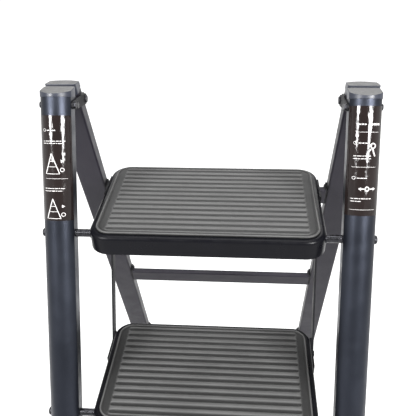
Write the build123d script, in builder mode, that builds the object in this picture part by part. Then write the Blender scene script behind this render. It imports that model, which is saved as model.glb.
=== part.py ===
"""Folding A-frame step ladder with three treads.

Frame: +Z up, the front (climbing side) faces -Y, +X is to the right of someone
facing the ladder. The origin is on the floor, midway between the front-most and the
rear-most foot and between the left and right rails. Units are millimetres and degrees.
The ladder is modelled standing open.
"""

import os
from math import asin, atan2, cos, degrees, hypot, radians, sin, tan

from build123d import *

# ---------------------------------------------------------------- driving dimensions
# Steps
top_step_height = 705.0  # floor to the top step's pan
step_spacing = 235.0
step_width = 311.0
step_depth = 196.0
step_height = 27.0  # depth of the folded apron
step_corner = 28.0  # plan corner radius
step_edge = 5.0  # rounding between apron and top
step_wall = 1.6
step_flange = 9.0  # inward lip under the apron

# Tread mat
mat_margin = 8.0  # bare rim of the pan around the mat
mat_thickness = 2.2
bead_width = 3.6
bead_height = 0.7
groove_count = 14
groove_pitch = 12.1
groove_width = 5.4
groove_depth = 1.3
groove_margin = 14.0  # from the mat's side edge to a groove's end
groove_first = 19.8  # from the step's front edge to the first groove

# Rails: tubes with a flat back, flat sides and a bowed face
front_lean = 23.8
rail_width = 40.0
rail_depth = 31.0
rail_bulge = 12.0
rear_rail_depth = 24.0
rear_rail_bulge = 5.0
rail_corner = 3.0
rail_wall = 1.5
side_room = 20.5  # between a step's side and a front rail
front_rail_rise = 147.0  # top step to the rail's square end, at its flat face
rear_rail_drop = 3.6  # the rear rail's end under the front rail's end

# Hinge
pivot_drop = 12.4  # pin under the rear rail's end
pivot_depth = 12.0  # pin behind the rear rail's flat face
folded_gap = 28.0  # between the rails' flat faces when folded
pivot_pin_radius = 4.0
pivot_head_radius = 5.4
pivot_head_height = 2.2
pivot_nut_width = 12.5  # across flats
bush_wall = 2.5
washer_rim = 5.0  # around the pin
washer_thickness = 2.2
plate_thickness = 2.5
plate_rim = 5.0  # plate edge around a fixing bolt
plate_pivot_rim = 7.4
plate_bolt_radius = 2.5
plate_bolt_drop = 10.0  # fixing bolts under the front rail's end
plate_bolt_depth = 4.7  # first bolt ahead of the front rail's flat face
plate_bolt_pitch = 9.2  # from the first bolt to the one ahead of it
bolt_head_rim = 1.8
bolt_head_height = 2.6
nut_width = 7.5  # across flats
nut_height = 3.0

# Step pivots
rod_radius = 4.0
rod_drop = 11.5  # rod under the pan's top
rod_setback = 26.0  # rod behind the step's front edge
rod_inset = 12.0  # rod ahead of the front rail's flat face
spacer_wall = 1.1
pivot_tube_wall = 2.4
rod_cap_rim = 1.8
rod_cap_height = 4.5

# Rear crossbars
bar_height = 33.0
bar_depth = 10.0
bar_wall = 1.2
bar_corner = 2.0
bar_drop = 43.5  # top step to the upper bar's top front edge
bar_room = 4.5  # that edge behind the top step
bar_spacing = 255.0
bar_count = 3
bracket_thickness = 2.5
bracket_width = 17.0
bracket_overhang = 2.0  # above and below the bar
bracket_setback = 1.0  # behind the rear rail's flat face
screw_radius = 2.0
screw_inset = 7.0  # from a bracket's ends
screw_depth = 3.5  # into the rear rail
screw_head_radius = 3.6
screw_head_height = 2.0

# Linkage on the steps' sides
side_plate_thickness = 3.0
side_plate_reach = 50.0  # its front edge ahead of the link pin
side_plate_drop = 6.0  # its top edge under the pan's top
pin_inset = 24.0  # link pin ahead of the step's rear edge
pin_room = 0.9  # between the apron's lower edge and the pin's head
pin_radius = 3.0
pin_head_rim = 1.6
pin_head_height = 1.8
ear_radius = 8.5
link_width = 14.0
link_thickness = 3.0
hook_reach_front = 5.0  # seat ahead of the crossbar
hook_lip_length = 13.0
hook_lip_width = 6.5
hook_back_height = 8.0

# End caps, feet and labels
cap_overhang = 0.8
cap_lip = 4.0  # cap height at the bowed face
front_cap_tilt = 5.5  # the cap's top rises towards the front
rear_cap_tilt = 9.5
cap_edge = 0.8
cap_parting = 1.6  # between a front cap and the rear cap behind it
foot_wall = 3.0
foot_height = 42.0
foot_sole = 6.0
foot_edge = 1.2
label_thickness = 0.3
label_length = 136.0
label_margin = 0.2  # bare strip between a flat side and the label
left_label_rise = 1.4  # label's lower edge above the top step, along the rail
right_label_rise = 16.2

# Clearances
running = 0.06  # pin in a bush or a tube
linkage = 0.10  # link bar on its pins
slack = 0.20  # bolt in a drilled hole
gap = 0.30  # between pieces that move past each other
plug_room = 1.0  # between a cap's plug and the bolt under it
seat_gap = 0.30  # hook on the crossbar

# ---------------------------------------------------------------- worked-out places
sin_front, cos_front, tan_front = (f(radians(front_lean)) for f in (sin, cos, tan))

step_side = step_width / 2
front_rail_inner = step_side + side_room
pin_head_radius = pin_radius + pin_head_rim
pin_drop = step_height + pin_room + pin_head_radius  # link pin under the pan's top
rod_z = top_step_height - rod_drop
bar_z = top_step_height - bar_drop
pivot_z = top_step_height + front_rail_rise - rear_rail_drop - pivot_drop
pivot_to_front = folded_gap + pivot_depth

# Places behind the front rails' flat face at the floor set the rear rails' lean: their
# flat face passes just ahead of the hinge pin and just behind the top step.
pivot_reach = pivot_z * tan_front + pivot_to_front / cos_front
bar_reach = rod_z * tan_front - rod_inset / cos_front - rod_setback + step_depth + bar_room
bar_behind, bar_below = bar_reach - pivot_reach, pivot_z - bar_z
rear_lean = degrees(atan2(bar_behind, bar_below) + asin(pivot_depth / hypot(bar_behind, bar_below)))
sin_rear, cos_rear, tan_rear = (f(radians(rear_lean)) for f in (sin, cos, tan))

# The origin is midway between the outermost points of the front and rear feet.
pivot_y = 0.5 * (
    pivot_z * (tan_front - tan_rear)
    + (pivot_to_front + rail_depth + foot_wall) / cos_front
    + (pivot_depth - rear_rail_depth - foot_wall) / cos_rear
)
front_foot_y = pivot_y - pivot_z * tan_front - pivot_to_front / cos_front
rear_foot_y = pivot_y + pivot_z * tan_rear - pivot_depth / cos_rear

rear_rail_inner = front_rail_inner + washer_thickness + gap
front_rail_x = front_rail_inner + rail_width / 2
rear_rail_x = rear_rail_inner + rail_width / 2
front_rail_end = (top_step_height + front_rail_rise) / cos_front
rear_rail_end = (top_step_height + front_rail_rise - rear_rail_drop) / cos_rear

step_names = ("top", "middle", "bottom")
bar_names = ("upper", "middle", "lower")
sides = {"left": -1, "right": 1}
plate_outer = step_side + side_plate_thickness
link_inner = plate_outer + gap
bush_radius = pivot_pin_radius + running + bush_wall
bracket_height = bar_height + 2 * bracket_overhang


def step_top(index):
    """Height of a step's pan, counted from the top step."""
    return top_step_height - index * step_spacing


def rod_place(index):
    """(y, z) of a step's pivot rod."""
    z = step_top(index) - rod_drop
    return front_foot_y + z * tan_front - rod_inset / cos_front, z


def step_front(index):
    """Y of a step's front edge."""
    return rod_place(index)[0] - rod_setback


def pin_place(index):
    """(y, z) of a step's link pin."""
    return step_front(index) + step_depth - pin_inset, step_top(index) - pin_drop


def bar_place(index):
    """(y, z) of a crossbar's top front edge, on the rear rails' flat face."""
    z = bar_z - index * bar_spacing
    return rear_foot_y - z * tan_rear, z


def plate_bolt_place(index):
    """(y, z) of a bolt that fixes the hinge plate to the front rail."""
    up = front_rail_end - plate_bolt_drop
    ahead = plate_bolt_depth + index * plate_bolt_pitch
    return front_foot_y + up * sin_front - ahead * cos_front, up * cos_front + ahead * sin_front


def along_rail(place, depth, lean):
    """Distance up a rail from the floor to a point at a depth behind its flat plane."""
    return (place[1] - depth * sin(radians(abs(lean)))) / cos(radians(lean))


def rail_plane(x, foot_y, lean):
    """Plane across a rail at the floor: local +Z runs up the rail, +Y points back."""
    up = (0, sin(radians(lean)), cos(radians(lean)))
    return Plane(origin=(x, foot_y, 0), x_dir=(1, 0, 0), z_dir=up)


def across(x, place):
    """Plane facing +X at an inner or outer side, with local X = Y and local Y = Z."""
    return Plane(origin=(x, place[0], place[1]), x_dir=(0, 1, 0), z_dir=(1, 0, 0))


def bar_plane(x, index):
    """Plane across a crossbar: local X points back, local Y up the rear rail."""
    y, z = bar_place(index)
    return Plane(origin=(x, y, z), x_dir=(0, cos_rear, sin_rear), z_dir=(1, 0, 0))


def bracket_screw_circles(radius, mode=Mode.ADD):
    """Circles behind a crossbar, for the screws of its end bracket."""
    behind = (bar_depth + bracket_setback + bracket_width) / 2
    with Locations((behind, -bar_height / 2)):
        with GridLocations(0, bracket_height - 2 * screw_inset, 1, 2):
            Circle(radius, mode=mode)


def rail_outline(spec, grow):
    """Section of a kind of rail, grown by an amount on every side."""
    bow, depth = spec["bow"], spec["depth"]
    half = rail_width / 2 + grow
    shoulder = bow * (depth - spec["bulge"])
    flat = -bow * grow
    crown = bow * (depth + grow)
    with BuildSketch() as outline:
        with BuildLine():
            Polyline((-half, shoulder), (-half, flat), (half, flat), (half, shoulder))
            ThreePointArc((half, shoulder), (0, crown), (-half, shoulder))
        make_face()
        fillet(outline.vertices(), rail_corner + grow)
    return outline.sketch


def save(builder, name):
    """Label a finished piece and write it."""
    builder.part.label = name
    export_step(builder.part, f"parts/{name}.step")


os.makedirs("parts", exist_ok=True)

# ---------------------------------------------------------------- rails, caps and feet
rail_kinds = {
    "front": {
        "bow": -1,  # the way the curved face points
        "depth": rail_depth,
        "bulge": rail_bulge,
        "x": front_rail_x,
        "foot_y": front_foot_y,
        "lean": front_lean,
        "end": front_rail_end,
        "tilt": front_cap_tilt,
        "under_plug": along_rail(plate_bolt_place(0), plate_bolt_depth, front_lean)
        + plate_bolt_radius,
        "bolts": [(rod_place(i), rod_radius + slack) for i in range(len(step_names))]
        + [(plate_bolt_place(i), plate_bolt_radius + slack) for i in range(2)],
    },
    "rear": {
        "bow": 1,
        "depth": rear_rail_depth,
        "bulge": rear_rail_bulge,
        "x": rear_rail_x,
        "foot_y": rear_foot_y,
        "lean": -rear_lean,
        "end": rear_rail_end,
        "tilt": rear_cap_tilt,
        "under_plug": along_rail((pivot_y, pivot_z), pivot_depth, rear_lean) + bush_radius,
        "bolts": [((pivot_y, pivot_z), bush_radius + running)],
    },
}


def make_rail(kind, sign):
    """Hollow rail from inside its foot to its square upper end."""
    spec = rail_kinds[kind]
    plane = rail_plane(sign * spec["x"], spec["foot_y"], spec["lean"])
    outer = rail_outline(spec, 0)
    inner = rail_outline(spec, -rail_wall)
    with BuildPart() as rail:
        with BuildSketch(plane.offset(foot_sole)):
            add(outer)
            add(inner, mode=Mode.SUBTRACT)
        extrude(amount=spec["end"] - foot_sole)
        for place, radius in spec["bolts"]:
            with BuildSketch(across(sign * spec["x"], place)):
                Circle(radius)
            extrude(amount=rail_width, both=True, mode=Mode.SUBTRACT)
        if kind == "rear":
            for index in range(bar_count):
                with BuildSketch(bar_plane(sign * rear_rail_inner, index)):
                    bracket_screw_circles(screw_radius)
                extrude(amount=sign * screw_depth, mode=Mode.SUBTRACT)
    save(rail, f"{kind}_rail_{side}")


def make_cap(kind, sign):
    """Wedge cap: plug in the tube and a top face that lies almost level."""
    spec = rail_kinds[kind]
    plane = rail_plane(sign * spec["x"], spec["foot_y"], spec["lean"])
    end_plane = plane.offset(spec["end"])
    skirt = rail_outline(spec, cap_overhang)
    plug = rail_outline(spec, -rail_wall - slack)
    crown = end_plane.from_local_coords((0, spec["bow"] * (spec["depth"] + cap_overhang), cap_lip))
    tilt = radians(spec["tilt"])
    top_plane = Plane(origin=crown, x_dir=(1, 0, 0), z_dir=(0, sin(tilt), cos(tilt)))
    relief_y = front_foot_y + (cap_overhang + cap_parting) / cos_front
    relief_plane = Plane(origin=(0, relief_y, 0), x_dir=(1, 0, 0), z_dir=(0, cos_front, -sin_front))
    with BuildPart() as cap:
        with BuildSketch(end_plane):
            add(skirt)
        extrude(amount=2 * rail_depth)
        split(bisect_by=top_plane, keep=Keep.BOTTOM)
        if kind == "rear":  # stays behind the front cap, whatever the leans
            split(bisect_by=relief_plane, keep=Keep.TOP)
        top_face = cap.faces().filter_by(lambda face: face.normal_at().Z > cos(radians(12)))
        fillet(top_face.edges(), cap_edge)
        with BuildSketch(end_plane):
            add(plug)
        extrude(amount=-(spec["end"] - spec["under_plug"] - plug_room))
    save(cap, f"{kind}_cap_{side}")


def make_foot(kind, sign):
    """Boot over the rail's lower end, cut level with the floor."""
    spec = rail_kinds[kind]
    plane = rail_plane(sign * spec["x"], spec["foot_y"], spec["lean"])
    boot = rail_outline(spec, foot_wall)
    socket = rail_outline(spec, slack)
    with BuildPart() as foot:
        with BuildSketch(plane.offset(-foot_height)):
            add(boot)
        extrude(amount=2 * foot_height)
        fillet(foot.faces().sort_by(Axis.Z)[-1].edges(), foot_edge)
        split(bisect_by=Plane.XY, keep=Keep.TOP)
        with BuildSketch(plane.offset(foot_sole)):
            add(socket)
        extrude(amount=foot_height, mode=Mode.SUBTRACT)
    save(foot, f"{kind}_foot_{side}")


for kind in rail_kinds:
    for side, sign in sides.items():
        make_rail(kind, sign)
        make_cap(kind, sign)
        make_foot(kind, sign)

# ---------------------------------------------------------------- labels on the front rails
for side, sign in sides.items():
    rise = left_label_rise if side == "left" else right_label_rise
    plane = rail_plane(sign * front_rail_x, front_foot_y, front_lean)
    film = rail_outline(rail_kinds["front"], label_thickness)
    face = rail_outline(rail_kinds["front"], 0)
    back_edge = rail_bulge - rail_depth - label_margin
    with BuildPart() as label:
        with BuildSketch(plane.offset(top_step_height / cos_front + rise - label_thickness)):
            add(film)
            add(face, mode=Mode.SUBTRACT)
            with Locations((0, back_edge + rail_depth / 2)):
                Rectangle(2 * rail_width, rail_depth, mode=Mode.SUBTRACT)
        extrude(amount=label_length)
    save(label, f"label_{side}")

# ---------------------------------------------------------------- hinge
plate_bolts = [plate_bolt_place(i) for i in range(2)]

for side, sign in sides.items():
    inner = min(sign * front_rail_inner, sign * (front_rail_inner - plate_thickness))
    with BuildPart() as hinge_plate:
        with BuildSketch(Plane.YZ.offset(inner)):
            with Locations(*plate_bolts):
                Circle(plate_rim)
            with Locations((pivot_y, pivot_z)):
                Circle(plate_pivot_rim)
            make_hull()
            with Locations(*plate_bolts):
                Circle(plate_bolt_radius + slack, mode=Mode.SUBTRACT)
            with Locations((pivot_y, pivot_z)):
                Circle(pivot_pin_radius + running, mode=Mode.SUBTRACT)
        extrude(amount=plate_thickness)
    save(hinge_plate, f"hinge_plate_{side}")

    bush_plane = across(sign * rear_rail_inner, (pivot_y, pivot_z))
    with BuildPart() as hinge_bush:
        with BuildSketch(bush_plane):
            Circle(bush_radius)
            Circle(pivot_pin_radius + running, mode=Mode.SUBTRACT)
        extrude(amount=sign * rail_width)
    save(hinge_bush, f"hinge_bush_{side}")

with BuildPart() as hinge_washers:
    for sign in sides.values():
        with BuildSketch(across(sign * (front_rail_inner + gap / 2), (pivot_y, pivot_z))):
            Circle(pivot_pin_radius + washer_rim)
            Circle(pivot_pin_radius + slack, mode=Mode.SUBTRACT)
        extrude(amount=sign * washer_thickness)
save(hinge_washers, "hinge_washers")

rear_rail_outer = rear_rail_inner + rail_width
front_rail_outer = front_rail_inner + rail_width
plate_face = front_rail_inner - plate_thickness
pivot_nut_start = rear_rail_outer + gap
pivot_pin_end = pivot_nut_start + nut_height

with BuildPart() as pivot_bolts:
    for sign in sides.values():
        with BuildSketch(across(sign * (plate_face - pivot_head_height), (pivot_y, pivot_z))):
            Circle(pivot_head_radius)
        extrude(amount=sign * pivot_head_height)
        with BuildSketch(across(sign * plate_face, (pivot_y, pivot_z))):
            Circle(pivot_pin_radius)
        extrude(amount=sign * (pivot_pin_end - plate_face))
    heads = pivot_bolts.faces().filter_by(GeomType.PLANE).group_by(SortBy.AREA)[-1]
    fillet(heads.filter_by(lambda face: abs(face.center().X) < plate_face).edges(), 1.5)
save(pivot_bolts, "pivot_bolts")

with BuildPart() as pivot_nuts:
    for sign in sides.values():
        with BuildSketch(across(sign * pivot_nut_start, (pivot_y, pivot_z))):
            RegularPolygon(pivot_nut_width / 2, 6, major_radius=False)
            Circle(pivot_pin_radius + running, mode=Mode.SUBTRACT)
        extrude(amount=sign * nut_height)
save(pivot_nuts, "pivot_nuts")

with BuildPart() as plate_screws:
    for sign in sides.values():
        for place in plate_bolts:
            with BuildSketch(across(sign * front_rail_outer, place)):
                Circle(plate_bolt_radius + bolt_head_rim)
            extrude(amount=sign * bolt_head_height)
            with BuildSketch(across(sign * front_rail_outer, place)):
                Circle(plate_bolt_radius)
            extrude(amount=-sign * (rail_width + plate_thickness + nut_height))
    crowns = plate_screws.faces().filter_by(
        lambda face: abs(face.center().X) > front_rail_outer + 0.9 * bolt_head_height
    )
    fillet(crowns.edges(), 1.6)
save(plate_screws, "hinge_plate_bolts")

with BuildPart() as plate_nuts:
    for sign in sides.values():
        for place in plate_bolts:
            with BuildSketch(across(sign * plate_face, place)):
                RegularPolygon(nut_width / 2, 6, major_radius=False)
                Circle(plate_bolt_radius + running, mode=Mode.SUBTRACT)
            extrude(amount=-sign * nut_height)
save(plate_nuts, "hinge_plate_nuts")

# ---------------------------------------------------------------- step rods
rod_half = front_rail_outer + rod_cap_height / 2
rod_places = [rod_place(i) for i in range(len(step_names))]

for name, place in zip(step_names, rod_places):
    with BuildPart() as step_rod:
        with BuildSketch(across(0, place)):
            Circle(rod_radius)
        extrude(amount=rod_half, both=True)
    save(step_rod, f"step_rod_{name}")

with BuildPart() as rod_caps:
    for sign in sides.values():
        for place in rod_places:
            with BuildSketch(across(sign * front_rail_outer, place)):
                Circle(rod_radius + rod_cap_rim)
            extrude(amount=sign * rod_cap_height)
    tops = rod_caps.faces().filter_by(
        lambda face: abs(face.center().X) > front_rail_outer + 0.9 * rod_cap_height
    )
    fillet(tops.edges(), 2.6)
    for sign in sides.values():
        for place in rod_places:
            with BuildSketch(across(sign * front_rail_outer, place)):
                Circle(rod_radius + running)
            extrude(amount=sign * rod_cap_height / 2, mode=Mode.SUBTRACT)
save(rod_caps, "rod_end_caps")

spacer_start = step_side + gap
spacer_length = front_rail_inner - spacer_start
with BuildPart() as rod_spacers:
    for sign in sides.values():
        for place in rod_places:
            with BuildSketch(across(sign * spacer_start, place)):
                Circle(rod_radius + slack + spacer_wall)
                Circle(rod_radius + slack, mode=Mode.SUBTRACT)
            extrude(amount=sign * spacer_length)
save(rod_spacers, "rod_spacers")

# ---------------------------------------------------------------- rear crossbars
bar_half = rear_rail_inner - bracket_thickness

for index, name in enumerate(bar_names[:bar_count]):
    with BuildPart() as crossbar:
        with BuildSketch(bar_plane(-bar_half, index)):
            with Locations((bar_depth / 2, -bar_height / 2)):
                RectangleRounded(bar_depth, bar_height, bar_corner)
                RectangleRounded(
                    bar_depth - 2 * bar_wall,
                    bar_height - 2 * bar_wall,
                    bar_corner - bar_wall,
                    mode=Mode.SUBTRACT,
                )
        extrude(amount=2 * bar_half)
    save(crossbar, f"crossbar_{name}")

    for side, sign in sides.items():
        with BuildPart() as bracket:
            with BuildSketch(bar_plane(sign * bar_half, index)):
                with Locations((bracket_setback + bracket_width / 2, -bar_height / 2)):
                    RectangleRounded(bracket_width, bracket_height, bar_corner)
                bracket_screw_circles(screw_radius + slack, Mode.SUBTRACT)
            extrude(amount=sign * bracket_thickness)
        save(bracket, f"crossbar_bracket_{name}_{side}")

with BuildPart() as crossbar_screws:
    for index in range(bar_count):
        for sign in sides.values():
            with BuildSketch(bar_plane(sign * bar_half, index)):
                bracket_screw_circles(screw_head_radius)
            extrude(amount=-sign * screw_head_height)
            with BuildSketch(bar_plane(sign * bar_half, index)):
                bracket_screw_circles(screw_radius)
            extrude(amount=sign * (bracket_thickness + screw_depth))
save(crossbar_screws, "crossbar_screws")

# ---------------------------------------------------------------- steps
mat_width = step_width - 2 * mat_margin
mat_depth = step_depth - 2 * mat_margin
mat_corner = step_corner - mat_margin
groove_length = mat_width - 2 * groove_margin
pivot_tube_radius = rod_radius + running + pivot_tube_wall


def step_plane(index, height):
    """Level plane over a step's plan centre, at a height over the pan's top."""
    return Plane(origin=(0, step_front(index) + step_depth / 2, step_top(index) + height))


def make_pan(index, name):
    """Pressed pan: top sheet, deep apron and an inward lip under it."""
    with BuildPart() as pan:
        with BuildSketch(step_plane(index, -step_height)):
            RectangleRounded(step_width, step_depth, step_corner)
        extrude(amount=step_height)
        fillet(pan.faces().sort_by(Axis.Z)[-1].edges(), step_edge)
        offset(amount=-step_wall, openings=pan.faces().sort_by(Axis.Z)[0])
        with BuildSketch(step_plane(index, -step_height)):
            RectangleRounded(step_width, step_depth, step_corner)
            RectangleRounded(
                step_width - 2 * step_flange,
                step_depth - 2 * step_flange,
                step_corner - step_flange,
                mode=Mode.SUBTRACT,
            )
        extrude(amount=step_wall)
        with BuildSketch(across(0, rod_place(index))):
            Circle(pivot_tube_radius + running)
        extrude(amount=step_width, both=True, mode=Mode.SUBTRACT)
    save(pan, f"{name}_step_pan")


def make_mat(index, name):
    """Ribbed tread mat with a raised bead round its edge."""
    first_groove = groove_first + (groove_count - 1) * groove_pitch / 2 - step_depth / 2
    with BuildPart() as mat:
        with BuildSketch(step_plane(index, 0)):
            RectangleRounded(mat_width, mat_depth, mat_corner)
        extrude(amount=mat_thickness)
        with BuildSketch(step_plane(index, mat_thickness)):
            RectangleRounded(mat_width, mat_depth, mat_corner)
            RectangleRounded(
                mat_width - 2 * bead_width,
                mat_depth - 2 * bead_width,
                mat_corner - bead_width,
                mode=Mode.SUBTRACT,
            )
        extrude(amount=bead_height)
        with BuildSketch(step_plane(index, mat_thickness)):
            with Locations((0, first_groove)):
                with GridLocations(0, groove_pitch, 1, groove_count):
                    SlotOverall(groove_length, groove_width)
        extrude(amount=-groove_depth, mode=Mode.SUBTRACT)
    save(mat, f"{name}_step_tread")


def make_pivot_tube(index, name):
    """Tube through the pan that turns on the step's rod."""
    with BuildPart() as tube:
        with BuildSketch(across(0, rod_place(index))):
            Circle(pivot_tube_radius)
            Circle(rod_radius + running, mode=Mode.SUBTRACT)
        extrude(amount=step_side, both=True)
    save(tube, f"{name}_step_pivot_tube")


def hook_outline():
    """Corners (y, z) of the hook that seats on the upper crossbar from above."""
    bar_y, bar_z = bar_place(0)

    def at(back, up):
        return bar_y + back * cos_rear - up * sin_rear, bar_z + back * sin_rear + up * cos_rear

    lip_inner = bar_depth + seat_gap
    lip_outer = lip_inner + hook_lip_width
    top = step_top(0) - side_plate_drop
    front = pin_place(0)[0] - side_plate_reach
    return [
        at(-hook_reach_front, seat_gap),
        at(lip_inner, seat_gap),
        at(lip_inner, -hook_lip_length),
        at(lip_outer, -hook_lip_length),
        at(lip_outer, hook_back_height),
        (pin_place(0)[0], top),
        (front, top),
        (front, step_top(0) - step_height + side_plate_drop),
        (pin_place(0)[0] - ear_radius, pin_place(0)[1]),
        (pin_place(0)[0], pin_place(0)[1] - ear_radius),
    ]


def lug_outline(index):
    """Corners (y, z) of the lug that carries a link pin under a lower step."""
    top = step_top(index) - side_plate_drop
    pin_y, pin_z = pin_place(index)
    front = pin_y - side_plate_reach
    return [
        (pin_y + ear_radius, pin_z),
        (pin_y + ear_radius, top),
        (front, top),
        (front, step_top(index) - step_height + side_plate_drop),
        (pin_y - ear_radius, pin_z),
    ]


def make_side_plates(index, name):
    """Plates on the step's sides: hooks on the top step, lugs on the others."""
    outline = hook_outline() if index == 0 else lug_outline(index)
    piece = "hook" if index == 0 else "lug"
    for side, sign in sides.items():
        start = min(sign * step_side, sign * plate_outer)
        with BuildPart() as side_plate:
            with BuildSketch(Plane.YZ.offset(start)):
                with BuildLine():
                    Polyline(*outline, close=True)
                make_face()
                with Locations(pin_place(index)):
                    Circle(ear_radius)
                    Circle(pin_radius + running, mode=Mode.SUBTRACT)
            extrude(amount=side_plate_thickness)
        save(side_plate, f"{name}_step_{piece}_{side}")


def make_link_pins(index, name):
    """Rivets that join the step's side plates to the link bars."""
    inner = step_side
    length = link_inner + link_thickness + gap - inner
    with BuildPart() as pins:
        for sign in sides.values():
            with BuildSketch(across(sign * inner, pin_place(index))):
                Circle(pin_radius)
            extrude(amount=sign * length)
            with BuildSketch(across(sign * (inner + length), pin_place(index))):
                Circle(pin_head_radius)
            extrude(amount=sign * pin_head_height)
            with BuildSketch(across(sign * inner, pin_place(index))):
                Circle(pin_head_radius)
            extrude(amount=-sign * pin_head_height)
    save(pins, f"{name}_step_link_pins")


for index, name in enumerate(step_names):
    make_pan(index, name)
    make_mat(index, name)
    make_pivot_tube(index, name)
    make_side_plates(index, name)
    make_link_pins(index, name)

# ---------------------------------------------------------------- link bars
pin_pitch = step_spacing / cos_front
link_span = (len(step_names) - 1) * pin_pitch

for side, sign in sides.items():
    start = min(sign * link_inner, sign * (link_inner + link_thickness))
    top_y, top_z = pin_place(0)
    plane = Plane(origin=(start, top_y, top_z), x_dir=(0, -sin_front, -cos_front), z_dir=(1, 0, 0))
    with BuildPart() as link_bar:
        with BuildSketch(plane):
            with Locations((link_span / 2, 0)):
                SlotCenterToCenter(link_span, link_width)
            for index in range(len(step_names)):
                with Locations((index * pin_pitch, 0)):
                    Circle(pin_radius + linkage, mode=Mode.SUBTRACT)
        extrude(amount=link_thickness)
    save(link_bar, f"link_bar_{side}")
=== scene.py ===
"""Looks of the folding step ladder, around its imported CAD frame.

Metres, Z up, the climbing side faces -Y. The CAD nodes keep their shape and get procedural
finishes. Softer ribbed mats take the place of the CAD tread mats on the same outline, and the
prints on the labels are thin pieces of their own.
"""

import math

import bmesh
import bpy
from mathutils import Matrix, Vector
from mathutils.bvhtree import BVHTree


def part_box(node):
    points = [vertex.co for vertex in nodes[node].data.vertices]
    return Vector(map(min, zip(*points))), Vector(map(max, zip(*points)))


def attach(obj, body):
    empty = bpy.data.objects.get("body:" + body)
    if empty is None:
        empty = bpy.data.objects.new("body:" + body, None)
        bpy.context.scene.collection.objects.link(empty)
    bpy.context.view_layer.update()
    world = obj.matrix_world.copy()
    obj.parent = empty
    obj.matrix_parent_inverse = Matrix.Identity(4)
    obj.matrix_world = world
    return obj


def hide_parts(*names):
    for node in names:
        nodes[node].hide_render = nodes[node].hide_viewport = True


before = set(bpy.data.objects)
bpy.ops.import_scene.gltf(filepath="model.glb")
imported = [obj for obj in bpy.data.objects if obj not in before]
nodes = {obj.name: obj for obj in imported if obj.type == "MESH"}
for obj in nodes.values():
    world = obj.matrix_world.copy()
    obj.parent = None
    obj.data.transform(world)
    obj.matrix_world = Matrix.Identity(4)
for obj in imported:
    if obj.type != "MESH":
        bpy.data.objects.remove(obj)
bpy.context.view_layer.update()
scene = bpy.context.scene

STEPS = ("top", "middle", "bottom")
FRONT_LEAN = math.radians(23.8)
MM = 0.001


# ---------------------------------------------------------------- node helpers
BEVEL_SAMPLES = 6
LEAST_EDGE_TURN = 0.02  # least turn of the rounded normal that counts as an edge


def set_range(node, low, high, to_low, to_high):
    """Limits of a MapRange node."""
    limits = {"From Min": low, "From Max": high, "To Min": to_low, "To Max": to_high}
    for key, number in limits.items():
        node.inputs[key].default_value = number


class Shader:
    """A material and short calls to add and link its nodes."""

    def __init__(self, name):
        self.material = bpy.data.materials.new(name)
        self.material.use_nodes = True
        self.tree = self.material.node_tree
        self.surface = self.tree.nodes["Principled BSDF"]
        self.place = self.tree.nodes.new("ShaderNodeTexCoord").outputs["Object"]

    def add(self, kind, settings=None, **inputs):
        """A node with attributes from settings; inputs go by name, or by index as i0, i1."""
        node = self.tree.nodes.new("ShaderNode" + kind)
        for name, value in (settings or {}).items():
            setattr(node, name, value)
        for name, value in inputs.items():
            by_index = name[0] == "i" and name[1:].isdigit()
            key = int(name[1:]) if by_index else name.replace("_", " ")
            self.put(node.inputs[key], value)
        return node

    def put(self, socket, value):
        """Link a socket, or set a plain value."""
        if isinstance(value, bpy.types.NodeSocket):
            self.tree.links.new(value, socket)
        else:
            socket.default_value = value

    def noise(self, scale, detail=3.0, roughness=0.55, stretch=None):
        """Noise values about 0.5, in object space, scale in features per metre."""
        place = self.place
        if stretch:
            place = self.add("Mapping", Vector=place, Scale=stretch).outputs[0]
        node = self.add("TexNoise", Vector=place, Scale=scale, Detail=detail, Roughness=roughness)
        return node.outputs["Fac"]

    def ramp(self, value, low, high, to_low=0.0, to_high=1.0):
        """Value mapped from low..high to to_low..to_high, clamped and eased."""
        node = self.add("MapRange", {"interpolation_type": "SMOOTHSTEP"}, Value=value)
        set_range(node, low, high, to_low, to_high)
        return node.outputs["Result"]

    def mix(self, share, low, high):
        """Colour between low and high."""
        node = self.add("Mix", {"data_type": "RGBA"}, i0=share, i6=low, i7=high)
        return node.outputs[2]

    def math(self, kind, first, second=0.0):
        """Number worked out from one or two others."""
        return self.add("Math", {"operation": kind}, i0=first, i1=second).outputs[0]

    def bevel(self, radius):
        """Normal rounded over edges within a radius."""
        return self.add("Bevel", {"samples": BEVEL_SAMPLES}, Radius=radius).outputs[0]

    def edges(self, radius, amount):
        """1 along edges, 0 on flats; the finishes lighten them, partly as wear and partly as
        painted highlight.
        """
        flat = self.add("NewGeometry").outputs["Normal"]
        rounded = self.bevel(radius)
        dot = self.add("VectorMath", {"operation": "DOT_PRODUCT"}, i0=rounded, i1=flat)
        turned = self.math("SUBTRACT", 1.0, dot.outputs["Value"])
        return self.ramp(turned, LEAST_EDGE_TURN, amount)

    def bump(self, height, distance, strength, normal=None):
        """Normal bent by a height, on top of another normal if there is one."""
        node = self.add("Bump", Height=height, Distance=distance, Strength=strength)
        if normal is not None:
            self.put(node.inputs["Normal"], normal)
        return node.outputs[0]

    def finish(
        self, color, roughness, normal,
        metallic=0.0, specular=0.5, coat=0.0, coat_roughness=0.1,
    ):
        """The material, with what varies linked and what is uniform set on the shader."""
        for key, value in (("Base Color", color), ("Roughness", roughness), ("Normal", normal)):
            self.put(self.surface.inputs[key], value)
        uniform = {
            "Metallic": metallic, "Specular IOR Level": specular,
            "Coat Weight": coat, "Coat Roughness": coat_roughness,
        }
        for key, number in uniform.items():
            self.surface.inputs[key].default_value = number
        return self.material


def tone(color, factor):
    """A colour made lighter or darker, as RGBA."""
    return tuple(c * factor for c in color) + (1.0,)


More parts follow.
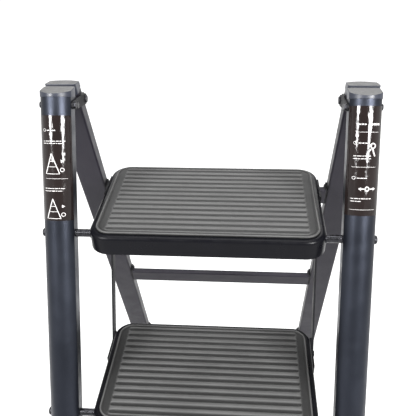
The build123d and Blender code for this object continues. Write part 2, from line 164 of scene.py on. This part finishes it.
# ---------------------------------------------------------------- finishes
# noise scales are in features per metre, bump distances and bevel radii in metres
def powder_coat(name, color, worn, roughness, metallic, specular, grain, sparkle):
    """Baked-on coat: orange peel with finer grain, soft cloudy shade, edges lightened by wear and
    painted highlight.
    """
    s = Shader(name)
    cloud = s.noise(9.0, 4.0)
    fine = s.noise(1400.0, 2.0)
    fleck = s.noise(2600.0, 1.0, 0.4)
    shade = s.mix(s.ramp(cloud, 0.3, 0.7), tone(color, 0.9), tone(color, 1.1))
    flecked = s.mix(s.ramp(fleck, 0.58, 0.72, 0.0, sparkle), shade, tone(color, 2.6))
    # edges take the worn colour in patches: partly wear, partly a painted highlight along the
    # edges
    patchy = s.ramp(s.noise(60.0, 5.0), 0.35, 0.75, 0.1, 0.75)
    rubbed_and_highlight = s.math("MULTIPLY", s.edges(0.0012, 0.3), patchy)
    colour = s.mix(rubbed_and_highlight, flecked, tone(worn, 1.0))
    rough = s.ramp(s.noise(35.0, 5.0), 0.3, 0.7, roughness - 0.05, roughness + 0.07)
    peel = s.bump(s.noise(420.0, 2.0), 0.00012, grain, s.bevel(0.0005))
    return s.finish(colour, rough, s.bump(fine, 0.0001, grain, peel), metallic, specular)


def rubber(name, color, dusty, roughness, grain, painted_groove_shade=1.0):
    """Matt moulded rubber with a leathery pebble, patchy dust and painted shade in its grooves."""
    s = Shader(name)
    cells = s.add("TexVoronoi", {"feature": "SMOOTH_F1"}, Vector=s.place, Scale=900.0)
    cloud = s.noise(22.0, 5.0)
    shade = s.mix(s.ramp(cloud, 0.3, 0.7), tone(color, 0.88), tone(color, 1.1))
    colour = s.mix(s.ramp(s.noise(90.0, 6.0), 0.52, 0.75, 0.0, 0.3), shade, tone(dusty, 1.0))
    # painted shade: the mesh's groove attribute darkens grooves, bead feet and border
    if painted_groove_shade < 1.0:
        deep = s.add("Attribute", {"attribute_name": "groove"}).outputs["Fac"]
        colour = s.mix(s.ramp(deep, 0.05, 0.9), colour, tone(color, painted_groove_shade))
    rough = s.ramp(cloud, 0.25, 0.75, roughness - 0.06, roughness + 0.06)
    pebble = s.bump(cells.outputs["Distance"], 0.00012, grain, s.bevel(0.0006))
    return s.finish(colour, rough, pebble, specular=0.25)


def moulded(name, color, roughness, specular, top=None):
    """Fine spark-eroded moulding texture, with painted light on the faces that look up."""
    s = Shader(name)
    texture = s.noise(1800.0, 2.0)
    cloud = s.noise(30.0, 4.0)
    shade = s.mix(s.ramp(cloud, 0.3, 0.7), tone(color, 0.93), tone(color, 1.07))
    # painted light: faces that look up turn towards the paler top colour, as if lit from above
    if top:
        up = s.add("SeparateXYZ", i0=s.add("NewGeometry").outputs["Normal"]).outputs["Z"]
        painted_top_light = s.math("MULTIPLY", s.ramp(up, 0.75, 0.97), s.ramp(cloud, 0.2, 0.8, 0.8, 1.0))
        shade = s.mix(painted_top_light, shade, tone(top, 1.0))
    # edges lighter: partly wear, partly painted highlight
    colour = s.mix(s.edges(0.0008, 0.4), shade, tone(color, 1.35))
    rough = s.ramp(s.noise(80.0, 4.0), 0.3, 0.7, roughness - 0.06, roughness + 0.08)
    grained = s.bump(texture, 0.00008, 0.4, s.bevel(0.0005))
    return s.finish(colour, rough, grained, specular=specular)


def bare_metal(name, color, roughness, metallic):
    """Turned or drawn dark steel: fine lines across X and a few brighter scuffs."""
    s = Shader(name)
    lines = s.noise(700.0, 3.0, 0.6, stretch=(1.0, 0.05, 0.05))
    scuff = s.noise(120.0, 6.0, 0.7)
    shade = s.mix(s.ramp(lines, 0.35, 0.65), tone(color, 0.75), tone(color, 1.25))
    colour = s.mix(s.ramp(scuff, 0.6, 0.8, 0.0, 0.5), shade, tone(color, 2.4))
    rough = s.ramp(scuff, 0.3, 0.7, roughness - 0.08, roughness + 0.1)
    return s.finish(colour, rough, s.bump(lines, 0.00005, 0.3, s.bevel(0.0004)), metallic)


def film(name, color, roughness):
    """Glossy laminated film with a faint orange peel and tiny scratches."""
    s = Shader(name)
    peel = s.noise(60.0, 3.0, 0.5, stretch=(1.0, 0.45, 0.45))
    scratch = s.noise(900.0, 2.0, 0.6, stretch=(0.08, 1.0, 1.0))
    shade = s.mix(s.ramp(s.noise(25.0, 4.0), 0.3, 0.7), tone(color, 0.85), tone(color, 1.2))
    rough = s.ramp(scratch, 0.55, 0.8, roughness, roughness + 0.12)
    waved = s.bump(peel, 0.0014, 1.0)
    return s.finish(shade, rough, waved, specular=0.33, coat=0.22, coat_roughness=0.05)


# the worn colours below paint the edges, partly as wear and partly as painted highlight
LOOKS = {
    "rail_paint": (powder_coat, {
        "color": (0.0205, 0.023, 0.0305), "worn": (0.1, 0.11, 0.13), "roughness": 0.35,
        "metallic": 0.88, "specular": 0.3, "grain": 0.7, "sparkle": 0.25,
    }),
    "rear_paint": (powder_coat, {
        "color": (0.0105, 0.0095, 0.0135), "worn": (0.08, 0.08, 0.085), "roughness": 0.4,
        "metallic": 0.1, "specular": 0.15, "grain": 0.35, "sparkle": 0.3,
    }),
    "step_paint": (powder_coat, {
        "color": (0.0021, 0.0021, 0.003), "worn": (0.035, 0.035, 0.042), "roughness": 0.3,
        "metallic": 0.0, "specular": 0.09, "grain": 0.16, "sparkle": 0.12,
    }),
    "black_steel": (powder_coat, {
        "color": (0.008, 0.008, 0.009), "worn": (0.07, 0.07, 0.07), "roughness": 0.52,
        "metallic": 0.0, "specular": 0.1, "grain": 0.3, "sparkle": 0.1,
    }),
    "tread_rubber": (rubber, {
        "color": (0.045, 0.045, 0.0445), "dusty": (0.055, 0.055, 0.0538),
        "roughness": 0.52, "grain": 0.35, "painted_groove_shade": 0.2,
    }),
    "foot_rubber": (rubber, {
        "color": (0.009, 0.009, 0.0095), "dusty": (0.03, 0.0295, 0.028),
        "roughness": 0.6, "grain": 0.35,
    }),
    "cap_plastic": (moulded, {
        "color": (0.016, 0.018, 0.026), "roughness": 0.34, "specular": 0.35,
        # the top colour is painted light for the caps' faces that look up
        "top": (0.036, 0.0355, 0.0345),
    }),
    "bush_plastic": (moulded, {"color": (0.03, 0.03, 0.03), "roughness": 0.5, "specular": 0.4}),
    "rod_steel": (bare_metal, {
        "color": (0.035, 0.035, 0.039), "roughness": 0.22, "metallic": 0.95,
    }),
    "fastener_steel": (bare_metal, {
        "color": (0.018, 0.018, 0.021), "roughness": 0.38, "metallic": 0.8,
    }),
    "label_film": (film, {"color": (0.0055, 0.0032, 0.0029), "roughness": 0.1}),
}
finishes = {name: kind(name, **look) for name, (kind, look) in LOOKS.items()}

for node in nodes.values():
    for material_slot in node.material_slots:
        name = material_slot.material.name.split(".")[0]
        if name in finishes:
            material_slot.material = finishes[name]


# ---------------------------------------------------------------- ribbed tread mats
# all lengths in mm
MAT_CORNER = 20.0
BEAD_PROFILE = (  # inset from the mat's edge, height over the pan, 0..1 of painted shade
    (0.0, 0.0, 1.0), (0.0, 1.3, 1.0), (0.25, 2.1, 0.6), (0.7, 2.65, 0.1), (1.2, 2.87, 0.0),
    (1.7, 2.9, 0.0), (2.2, 2.83, 0.1), (2.7, 2.45, 0.6), (3.1, 1.9, 1.0), (3.8, 1.7, 1.0),
    (4.5, 1.85, 1.0), (5.2, 2.1, 0.92), (6.0, 2.2, 0.82),
)
GROOVES, GROOVE_PITCH, GROOVE_WIDTH = 14, 12.1, 6.8
GROOVE_END = 14.0  # from the mat's edge to a groove's end
GROOVE_FIRST = 11.8  # from the mat's front edge to the first groove
GROOVE_DEPTH, RIB_CROWN = 1.5, 0.45
WALL_IN, WALL_OUT = 1.7, 0.8  # how far a groove's soft wall reaches in and out of its edge
WALL_LINES = (-WALL_IN, -1.1, -0.5, 0.0, 0.4, WALL_OUT)  # grid lines about a groove's edge
TIP_COARSE, TIP_FINE, TIP_PAST = -0.07, -0.055, 0.03  # shares of the half width, from a tip
COARSE_COLUMNS, FINE_COLUMNS = 4, 15
CORNER_STEP = 10  # degrees
LEAST_ROW = 0.12  # rows nearer than this become one
CROWN_RUN, BORDER_RUN = 6.0, 5.0  # along X, where the ribs' crown fades and the painted shade on the border grows
LEAST_REACH = 1e-6  # shorter than this, a direction is taken along Y
BEAD_WIDTH, SURFACE_HEIGHT, BORDER_SHADE = BEAD_PROFILE[-1]


def ease(x):
    """0..1 with soft ends."""
    x = min(1.0, max(0.0, x))
    return x * x * (3 - 2 * x)


def spread(start, stop, count):
    """Evenly spaced numbers, both ends included."""
    return [start + (stop - start) * i / count for i in range(count + 1)]


def tread_lines(half_x, half_y, corner):
    """Shares of the half width and Y places where the mat's surface grid has its lines."""
    tip = (half_x + BEAD_WIDTH - GROOVE_END) / half_x
    shares = spread(0.0, tip + TIP_COARSE, COARSE_COLUMNS)
    shares += spread(tip + TIP_FINE, tip + TIP_PAST, FINE_COLUMNS) + [1.0]
    shares = [-x for x in reversed(shares[1:])] + shares
    angles = [math.radians(a) for a in range(0, 91, CORNER_STEP)]
    rows = {round(half_y - corner + corner * math.sin(a), 3) for a in angles}
    rows |= {-y for y in rows}
    first = GROOVE_FIRST - BEAD_WIDTH - half_y
    offsets = [0.0] + [GROOVE_WIDTH / 2 + line for line in WALL_LINES]
    for index in range(GROOVES):
        centre = first + index * GROOVE_PITCH
        for offset in offsets:
            rows |= {round(centre + offset, 3), round(centre - offset, 3)}
        rows.add(round(centre + GROOVE_PITCH / 2, 3))
    kept = []
    for y in sorted(y for y in rows if abs(y) <= half_y):
        if not kept or y - kept[-1] > LEAST_ROW or y == half_y:
            kept.append(y)
    return shares, kept, first


def tread_height(x, y, first, half_x):
    """Height over the pan, and 0..1 of painted shade in grooves and border."""
    groove_half = half_x + BEAD_WIDTH - GROOVE_END - GROOVE_WIDTH / 2
    nearest = min(GROOVES - 1, max(0, round((y - first) / GROOVE_PITCH)))
    off = y - first - nearest * GROOVE_PITCH
    distance = math.hypot(max(abs(x) - groove_half, 0.0), off) - GROOVE_WIDTH / 2
    deep = 1.0 - ease((distance + WALL_IN) / (WALL_IN + WALL_OUT))
    room = (GROOVE_PITCH - GROOVE_WIDTH) / 2
    inside = abs(x) < groove_half and 0 <= (y - first) <= (GROOVES - 1) * GROOVE_PITCH
    fade = ease((groove_half - abs(x)) / CROWN_RUN)
    crown = RIB_CROWN * ease(distance / room) * fade if inside else 0.0
    border = BORDER_SHADE * ease((abs(x) - groove_half) / BORDER_RUN)
    return SURFACE_HEIGHT - GROOVE_DEPTH * deep + crown, max(deep, border)


def finish_piece(mesh, name, material, body, smooth=False):
    """Object from a bmesh, with its finish, riding on a body."""
    data = bpy.data.meshes.new(name)
    mesh.to_mesh(data)
    mesh.free()
    piece = bpy.data.objects.new(name, data)
    scene.collection.objects.link(piece)
    data.materials.append(material)
    if smooth:
        data.shade_smooth()
    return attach(piece, body)


def weave(mesh, rows):
    """Quads between rows of vertices."""
    for under, over in zip(rows, rows[1:]):
        for i in range(len(under) - 1):
            mesh.faces.new((under[i], under[i + 1], over[i + 1], over[i]))


def mat_surface(mesh, vertex, half_x, half_y, corner):
    """Ribbed surface with round corners; gives its border as (vertex, x, y), counterclockwise."""
    shares, rows, first = tread_lines(half_x, half_y, corner)
    grid = []
    for y in rows:
        past = max(0.0, abs(y) - (half_y - corner))
        width = half_x - corner + math.sqrt(max(0.0, corner**2 - past**2))
        places = [(share * width, y) for share in shares]
        grid.append([(vertex(x, y, *tread_height(x, y, first, half_x)), x, y) for x, y in places])
    weave(mesh, [[made for made, _, _ in line] for line in grid])
    right_edge = [line[-1] for line in grid[1:]]
    left_edge = [line[0] for line in grid[-2:0:-1]]
    return grid[0] + right_edge + grid[-1][-2::-1] + left_edge


def outwards(x, y, flat_x, flat_y):
    """Direction from a place on the surface's round-cornered border to the mat's edge."""
    from_x = math.copysign(min(abs(x), flat_x), x)
    from_y = math.copysign(min(abs(y), flat_y), y)
    away = Vector((x - from_x, y - from_y))
    if away.length > LEAST_REACH:
        return away.normalized()
    return Vector((0.0, math.copysign(1.0, y)))


def mat_bead(mesh, vertex, border, flat_x, flat_y):
    """Raised bead around the surface, the mat's sides and its underside."""
    count = len(border)
    inner = [made for made, _, _ in border]
    for inset, height, shade in reversed(BEAD_PROFILE[:-1]):
        reach = BEAD_WIDTH - inset
        outer = []
        for _, x, y in border:
            away = outwards(x, y, flat_x, flat_y)
            outer.append(vertex(x + away.x * reach, y + away.y * reach, height, shade))
        for i in range(count):
            after = (i + 1) % count
            mesh.faces.new((inner[i], outer[i], outer[after], inner[after]))
        inner = outer
    mesh.faces.new(list(reversed(inner)))


def tread_mat(step):
    """Soft-ribbed rubber mat with a raised bead, in place of the CAD mat."""
    low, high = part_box(f"{step}_step_tread")
    half = ((high - low) / MM / 2).xy
    middle = (low + high) / 2
    half_x, half_y = half.x - BEAD_WIDTH, half.y - BEAD_WIDTH
    corner = MAT_CORNER - BEAD_WIDTH
    mesh = bmesh.new()
    # per-vertex share of painted shade in grooves, bead feet and border
    painted_shade_layer = mesh.verts.layers.float.new("groove")

    def vertex(x, y, z, deep):
        made = mesh.verts.new((middle.x + x * MM, middle.y + y * MM, low.z + z * MM))
        made[painted_shade_layer] = deep
        return made

    border = mat_surface(mesh, vertex, half_x, half_y, corner)
    mat_bead(mesh, vertex, border, half_x - corner, half_y - corner)
    bmesh.ops.recalc_face_normals(mesh, faces=mesh.faces)
    rubber_finish = finishes["tread_rubber"]
    return finish_piece(mesh, f"{step}_tread_mat", rubber_finish, f"{step}_step", smooth=True)


for step in STEPS:
    mat = tread_mat(step)
    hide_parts(f"{step}_step_tread")


# ---------------------------------------------------------------- prints on the labels
# all lengths in mm, except the rays' start
INK = 0.05  # thickness of the print
FINEST = 1.1  # longest straight run on the bowed face
RAY_START = 0.1  # metres, how far in front of the film its rays start
RING_SIDES = 18
RUNGS_AT = (0.35, 0.62)  # shares of a pitched frame's height
RULE = 0.45  # height of a thin rule


class Print:
    """Flat printed shapes in mm: u across the rail from its centre, v up from the label's foot."""

    def __init__(self, side):
        self.side = side
        graph = bpy.context.evaluated_depsgraph_get()
        self.film = BVHTree.FromObject(nodes[f"label_{side}"], graph)
        low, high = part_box(f"label_{side}")
        self.rail_up = Vector((0.0, math.sin(FRONT_LEAN), math.cos(FRONT_LEAN)))
        self.back = Vector((0.0, math.cos(FRONT_LEAN), -math.sin(FRONT_LEAN)))
        self.foot = Vector(((low.x + high.x) / 2, low.y, low.z))
        self.mesh = bmesh.new()

    def at(self, u, v):
        """Point one print's thickness over the film."""
        start = self.foot + Vector((u * MM, 0, 0)) + self.rail_up * (v * MM)
        place, normal, _, _ = self.film.ray_cast(start - self.back * RAY_START, self.back)
        return place + normal * (INK * MM)

    def quad(self, corners):
        """Four corners, cut finely enough to follow the face."""
        a, b, c, d = (Vector(p) for p in corners)
        long_side = max((b - a).length, (c - d).length)
        short_side = max((d - a).length, (c - b).length)
        columns, lines = (max(1, math.ceil(x / FINEST)) for x in (long_side, short_side))
        rows = []
        for j in range(lines + 1):
            left, right = a.lerp(d, j / lines), b.lerp(c, j / lines)
            places = [self.at(*left.lerp(right, i / columns)) for i in range(columns + 1)]
            rows.append([self.mesh.verts.new(place) for place in places])
        weave(self.mesh, rows)

    def bar(self, u, v, width, height):
        """Upright rectangle from its lower left corner."""
        self.quad(((u, v), (u + width, v), (u + width, v + height), (u, v + height)))

    def stroke(self, start, end, width):
        """Straight line of a width."""
        start, end = Vector(start), Vector(end)
        across = (end - start).orthogonal().normalized() * width / 2
        self.quad((start - across, end - across, end + across, start + across))

    def dashes(self, u, v, lengths, height=0.95, space=0.8):
        """A row of plain dashes."""
        for length in lengths:
            self.bar(u, v, length, height)
            u += length + space

    def ring(self, u, v, radius, width):
        """Ring of a line width about (u, v)."""
        turns = [2 * math.pi * i / RING_SIDES for i in range(RING_SIDES + 1)]
        corners = [(math.cos(turn), math.sin(turn)) for turn in turns]
        inner, outer = radius - width / 2, radius + width / 2
        for (ax, ay), (bx, by) in zip(corners, corners[1:]):
            self.quad((
                (u + ax * inner, v + ay * inner), (u + bx * inner, v + by * inner),
                (u + bx * outer, v + by * outer), (u + ax * outer, v + ay * outer),
            ))

    def arrow(self, u, v, reach, size):
        """Arrow head along u; reach is its signed length."""
        self.quad(((u, v - size), (u + reach, v - 0.1), (u + reach, v + 0.1), (u, v + size)))

    def frame_mark(self, u, v, width, height):
        """A pitched frame with two rungs, and a ring and an arrow head beside it."""
        foot_l, foot_r, top = (u, v), (u + width, v), (u + width * 0.45, v + height)
        self.stroke(foot_l, top, 1.3)
        self.stroke(foot_r, top, 1.1)
        self.stroke(foot_l, foot_r, 0.7)
        for share in RUNGS_AT:
            left = Vector(foot_l).lerp(Vector(top), share)
            self.stroke(left, Vector(foot_r).lerp(Vector(top), share), 0.7)
        self.ring(u + width + 3.0, v + height * 0.2, 2.3, 0.8)
        self.arrow(u + width + 1.6, v + height * 0.62, 3.4, 2.2)

    def done(self):
        """The print as a thin piece that rides on the front frame."""
        made = finish_piece(self.mesh, f"label_print_{self.side}", label_ink, "front_frame")
        solid = made.modifiers.new("thickness", "SOLIDIFY")
        solid.thickness, solid.offset = INK * MM, -1.0


def ink(name, color):
    """Slightly worn screen-printed ink."""
    s = Shader(name)
    worn = s.ramp(s.noise(420.0, 4.0, 0.7), 0.5, 0.75, 0.0, 0.55)
    colour = s.mix(worn, tone(color, 1.0), tone(color, 0.45))
    rough = s.ramp(s.noise(200.0, 3.0), 0.3, 0.7, 0.3, 0.45)
    return s.finish(colour, rough, s.bump(s.noise(1500.0), 0.00002, 0.2), specular=0.4)


label_ink = ink("label_ink", (0.34, 0.33, 0.325))

left_print = Print("left")
left_print.ring(-12.5, 122.0, 1.7, 0.6)
left_print.dashes(-9.0, 121.0, (3.2, 2.2, 4.4), 1.3)
left_print.dashes(-14.5, 107.5, (2.6, 4.8, 1.6, 5.2, 3.4, 2.0, 4.0))
left_print.dashes(-14.5, 104.6, (4.2, 2.0, 5.0, 3.0, 1.4, 4.6))
left_print.frame_mark(-12.0, 66.0, 18.5, 26.0)
left_print.bar(-13.0, 59.5, 28.5, RULE)
left_print.dashes(-14.5, 46.5, (3.6, 5.6, 2.2, 4.4, 1.8, 4.8))
left_print.dashes(-14.5, 43.2, (5.0, 3.2, 4.6, 2.0, 5.4))
left_print.frame_mark(-12.0, 7.5, 18.5, 26.0)
left_print.done()

right_print = Print("right")
right_print.dashes(-9.5, 117.5, (2.6, 3.2, 2.0), 1.6)
right_print.dashes(4.0, 117.0, (3.6, 4.4, 3.2), 2.6)
right_print.bar(-10.0, 108.5, 26.0, RULE)
right_print.ring(-12.0, 95.6, 1.8, 0.6)
right_print.dashes(-8.5, 94.8, (3.6, 2.6, 3.8), 1.1)
right_print.ring(9.5, 92.0, 3.0, 1.5)
right_print.stroke((7.0, 88.0), (2.5, 82.5), 1.6)
right_print.stroke((9.0, 88.5), (12.5, 79.0), 1.8)
right_print.dashes(-13.5, 79.0, (3.2, 5.4, 2.0, 4.2, 3.0))
right_print.dashes(-13.5, 75.6, (4.6, 2.2, 3.6, 5.0, 2.4))
right_print.bar(-15.0, 65.5, 29.5, RULE)
right_print.ring(-12.0, 52.2, 1.8, 0.6)
right_print.dashes(-8.5, 51.4, (3.4, 3.0, 3.8), 1.1)
right_print.ring(4.5, 38.5, 2.4, 1.4)
right_print.stroke((0.8, 38.5), (-3.0, 38.5), 1.5)
right_print.stroke((8.2, 38.5), (12.0, 38.5), 1.5)
right_print.arrow(-3.0, 38.5, -3.2, 2.2)
right_print.arrow(12.0, 38.5, 3.2, 2.2)
right_print.dashes(-14.5, 25.8, (3.0, 4.6, 2.2, 5.2, 2.6, 3.0))
right_print.dashes(-14.5, 22.4, (4.4, 2.0, 4.0))
right_print.bar(-15.5, 12.0, 30.5, RULE)
right_print.done()


# ---------------------------------------------------------------- floor and light
FLOOR_HALF = 30.0
FLOOR_DARK, FLOOR_PALE = (0.3, 0.3, 0.3), (0.33, 0.33, 0.33)
FLOOR_GLOW = 0.88  # keeps the floor as white as the photo's background
WHITE = (1.0, 1.0, 1.0)
SKY_FADE = (0.05, 0.32, 1.0, 0.45)  # from and to in direction Z, strength below and above
LIT_POINT = (0.0, -0.05, 0.7)
SOFTBOXES = (  # name, place, width, height, power
    ("overhead", (0.0, 0.3, 2.8), 1.8, 1.4, 40.0),
    ("back", (0.0, 2.4, 2.2), 2.4, 1.0, 34.0),
    ("strip_left", (-1.15, -1.2, 1.78), 0.45, 1.0, 80.0),
    ("strip_right", (1.15, -1.3, 1.8), 0.75, 1.05, 115.0),
)


def floor_white():
    """Plain pale floor paint with the faintest clouds and a glow."""
    s = Shader("floor_white")
    cloud = s.ramp(s.noise(1.5, 3.0), 0.3, 0.7)
    shade = s.mix(cloud, tone(FLOOR_DARK, 1.0), tone(FLOOR_PALE, 1.0))
    material = s.finish(shade, 0.9, s.bump(s.noise(40.0), 0.0005, 0.05), specular=0.1)
    s.surface.inputs["Emission Color"].default_value = tone(WHITE, 1.0)
    s.surface.inputs["Emission Strength"].default_value = FLOOR_GLOW
    return material


def plain_floor():
    """One large square at the ladder's feet."""
    mesh = bpy.data.meshes.new("floor")
    signs = ((-1, -1), (1, -1), (1, 1), (-1, 1))
    corners = [(x * FLOOR_HALF, y * FLOOR_HALF, 0.0) for x, y in signs]
    mesh.from_pydata(corners, [], [(0, 1, 2, 3)])
    mesh.materials.append(floor_white())
    floor = bpy.data.objects.new("floor", mesh)
    scene.collection.objects.link(floor)
    return floor


def studio_world():
    """White low down like a studio's sweep, dimmer higher up."""
    world = bpy.data.worlds.new("studio")
    world.use_nodes = True
    tree = world.node_tree
    direction = tree.nodes.new("ShaderNodeTexCoord").outputs["Generated"]
    split = tree.nodes.new("ShaderNodeSeparateXYZ")
    fade = tree.nodes.new("ShaderNodeMapRange")
    set_range(fade, *SKY_FADE)
    background = tree.nodes["Background"]
    tree.links.new(direction, split.inputs[0])
    tree.links.new(split.outputs["Z"], fade.inputs["Value"])
    tree.links.new(fade.outputs[0], background.inputs["Strength"])
    background.inputs["Color"].default_value = tone(WHITE, 1.0)
    return world


def softbox(name, place, width, height, power):
    """Rectangular studio light aimed at the ladder."""
    data = bpy.data.lights.new(name, "AREA")
    data.shape, data.size, data.size_y, data.energy = "RECTANGLE", width, height, power
    light = bpy.data.objects.new(name, data)
    scene.collection.objects.link(light)
    light.location = place
    aim = Vector(LIT_POINT) - Vector(place)
    light.rotation_euler = aim.to_track_quat("-Z", "Y").to_euler()


plain_floor()
scene.world = studio_world()
for box in SOFTBOXES:
    softbox(*box)


# ---------------------------------------------------------------- camera
LENS, SENSOR = 49.359, 36.0  # mm
SHIFT_X = 0.00322
CAMERA_FROM_EDGE = Vector((0.05247, -0.58709, 0.42295))  # from the top step's front top edge
YAW, PITCH, ROLL = 0.084207, 0.566037, 0.025114

level = Vector((math.cos(YAW), math.sin(YAW), 0.0))
ahead = Vector((-math.sin(YAW), math.cos(YAW), 0.0))
forward = ahead * math.cos(PITCH) - Vector((0.0, 0.0, math.sin(PITCH)))
down = forward.cross(level)
right = level * math.cos(ROLL) + down * math.sin(ROLL)
up = level * math.sin(ROLL) - down * math.cos(ROLL)
camera_data = bpy.data.cameras.new("camera")
camera_data.sensor_width = SENSOR
camera_data.lens = LENS
camera_data.shift_x = SHIFT_X
camera = bpy.data.objects.new("camera", camera_data)
scene.collection.objects.link(camera)
rotation = Matrix((right, up, -forward)).transposed().to_4x4()
pan_low, pan_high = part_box("top_step_pan")
place = CAMERA_FROM_EDGE + Vector((0.0, pan_low.y, pan_high.z))
camera.matrix_world = Matrix.Translation(place) @ rotation
scene.camera = camera
scene.view_settings.view_transform = "Standard"
